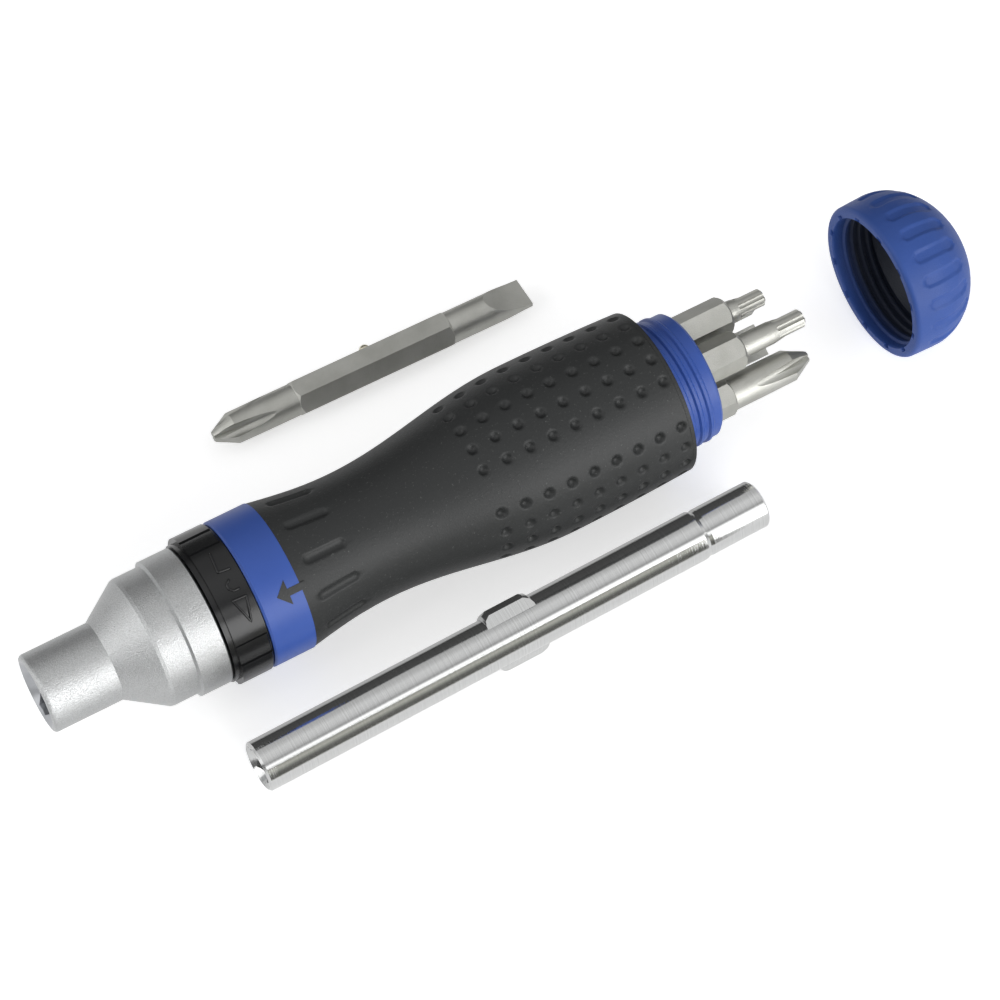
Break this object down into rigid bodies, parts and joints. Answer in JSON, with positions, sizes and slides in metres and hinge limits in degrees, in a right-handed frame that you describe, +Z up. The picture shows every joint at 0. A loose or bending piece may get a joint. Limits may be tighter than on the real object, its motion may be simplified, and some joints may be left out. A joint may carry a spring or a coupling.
{
  "type": "ratcheting screwdriver",
  "caption": "Hand screwdriver with a reversible ratchet nose, a loose winged shaft with a hex socket at each end, and double-ended bits kept in the handle under a screw cap.",
  "frame": {"origin": "centre of the mouth of the nose socket, on the tool's axis", "axes": "+X along the tool's axis from the nose to the tail, +Z up from the surface it lies on, +Y away from the loose shaft and towards the loose bit"},
  "size_m": [0.1865, 0.0724, 0.0331],
  "materials": {
    "nose_aluminium": "bead-blasted satin",
    "mechanism_steel": "ground, oiled",
    "spring_steel": "drawn wire and strip",
    "bush_bronze": "sintered",
    "selector_black": "gloss",
    "core_blue": "satin",
    "grip_rubber": "matt, fine grain",
    "cap_blue": "satin, fine grain",
    "shaft_chrome": "polished over fine turning marks",
    "bit_steel": "satin, grey-olive",
    "ball_brass": "polished"
  },
  "bodies": {
    "handle": {"handle_core": "core_blue", "grip": "grip_rubber", "pawl_carrier": "mechanism_steel", "pawl_cover": "mechanism_steel", "carrier_screws": "mechanism_steel", "pawl_pins": "mechanism_steel", "pawl_spring": "spring_steel", "bearing_bush": "bush_bronze", "thrust_washer": "mechanism_steel", "selector_ball": "mechanism_steel", "selector_spring": "spring_steel"},
    "nose": {"nose_shell": "nose_aluminium", "drive_socket": "mechanism_steel", "ratchet_gear": "mechanism_steel", "retaining_ring": "mechanism_steel", "shaft_retainer": "spring_steel"},
    "selector": {"selector_ring": "selector_black"},
    "forward_pawl": {"pawl_forward": "mechanism_steel"},
    "reverse_pawl": {"pawl_reverse": "mechanism_steel"},
    "cap": {"cap": "cap_blue"},
    "shaft": {"shaft_tube": "shaft_chrome", "bit_stop": "mechanism_steel"},
    "loose_bit": {"loose_bit": "bit_steel", "loose_bit_spring": "spring_steel"},
    "loose_bit_ball": {"loose_bit_ball": "ball_brass"},
    "star_bit_small": {"star_bit_small": "bit_steel", "star_bit_small_ball": "ball_brass", "star_bit_small_spring": "spring_steel"},
    "star_bit_large": {"star_bit_large": "bit_steel", "star_bit_large_ball": "ball_brass", "star_bit_large_spring": "spring_steel"},
    "cross_bit_large": {"cross_bit_large": "bit_steel", "cross_bit_large_ball": "ball_brass", "cross_bit_large_spring": "spring_steel"},
    "square_bit": {"square_bit": "bit_steel", "square_bit_ball": "ball_brass", "square_bit_spring": "spring_steel"},
    "slotted_bit": {"slotted_bit": "bit_steel", "slotted_bit_ball": "ball_brass", "slotted_bit_spring": "spring_steel"},
    "cross_bit_small": {"cross_bit_small": "bit_steel", "cross_bit_small_ball": "ball_brass", "cross_bit_small_spring": "spring_steel"}
  },
  "joints": [
    {"name": "nose_turn", "type": "hinge", "parent": "handle", "child": "nose", "pos_m": [0, 0, 0], "axis": [1, 0, 0], "continuous": true},
    {"name": "selector_turn", "type": "hinge", "parent": "handle", "child": "selector", "pos_m": [0.03465, 0, 0], "axis": [1, 0, 0], "range_deg": [-40, 0]},
    {"name": "pawl_forward_tilt", "type": "hinge", "parent": "handle", "child": "forward_pawl", "pos_m": [0.0345, -0.00704, 0.00623], "axis": [1, 0, 0], "range_deg": [0, 12.5]},
    {"name": "pawl_reverse_tilt", "type": "hinge", "parent": "handle", "child": "reverse_pawl", "pos_m": [0.0345, 0.00704, 0.00623], "axis": [1, 0, 0], "range_deg": [0, 12.5]},
    {"name": "cap_slide", "type": "slide", "parent": "handle", "child": "cap", "axis": [1, 0, 0], "range_m": [-0.0474, 0]},
    {"name": "shaft_lift", "type": "slide", "parent": "handle", "child": "shaft", "axis": [0, 0, 1], "range_m": [0, 0.08]},
    {"name": "loose_bit_lift", "type": "slide", "parent": "handle", "child": "loose_bit", "axis": [0, 0, 1], "range_m": [0, 0.08]},
    {"name": "loose_bit_ball_press", "type": "slide", "parent": "loose_bit", "child": "loose_bit_ball", "axis": [-0.0106, -0.866, -0.5], "range_m": [0, 0.0003], "stiffness_N_per_m": 400, "springref_m": -0.0006},
    {"name": "star_bit_small_slide", "type": "slide", "parent": "handle", "child": "star_bit_small", "axis": [1, 0, 0], "range_m": [-0.01299, 0]},
    {"name": "star_bit_large_slide", "type": "slide", "parent": "handle", "child": "star_bit_large", "axis": [1, 0, 0], "range_m": [-0.0165, 0]},
    {"name": "cross_bit_large_slide", "type": "slide", "parent": "handle", "child": "cross_bit_large", "axis": [1, 0, 0], "range_m": [-0.01559, 0]},
    {"name": "square_bit_slide", "type": "slide", "parent": "handle", "child": "square_bit", "axis": [1, 0, 0], "range_m": [-0.01431, 0]},
    {"name": "slotted_bit_slide", "type": "slide", "parent": "handle", "child": "slotted_bit", "axis": [1, 0, 0], "range_m": [-0.01346, 0]},
    {"name": "cross_bit_small_slide", "type": "slide", "parent": "handle", "child": "cross_bit_small", "axis": [1, 0, 0], "range_m": [-0.01503, 0]}
  ],
  "couplings": [
    {"joint": "pawl_forward_tilt", "follows": "selector_turn", "ratio": -0.3125},
    {"joint": "pawl_reverse_tilt", "follows": "selector_turn", "ratio": -0.3125},
    {"joint": "star_bit_small_slide", "follows": "cap_slide", "ratio": 0.274},
    {"joint": "star_bit_large_slide", "follows": "cap_slide", "ratio": 0.348},
    {"joint": "cross_bit_large_slide", "follows": "cap_slide", "ratio": 0.329},
    {"joint": "square_bit_slide", "follows": "cap_slide", "ratio": 0.302},
    {"joint": "slotted_bit_slide", "follows": "cap_slide", "ratio": 0.284},
    {"joint": "cross_bit_small_slide", "follows": "cap_slide", "ratio": 0.317}
  ]
}
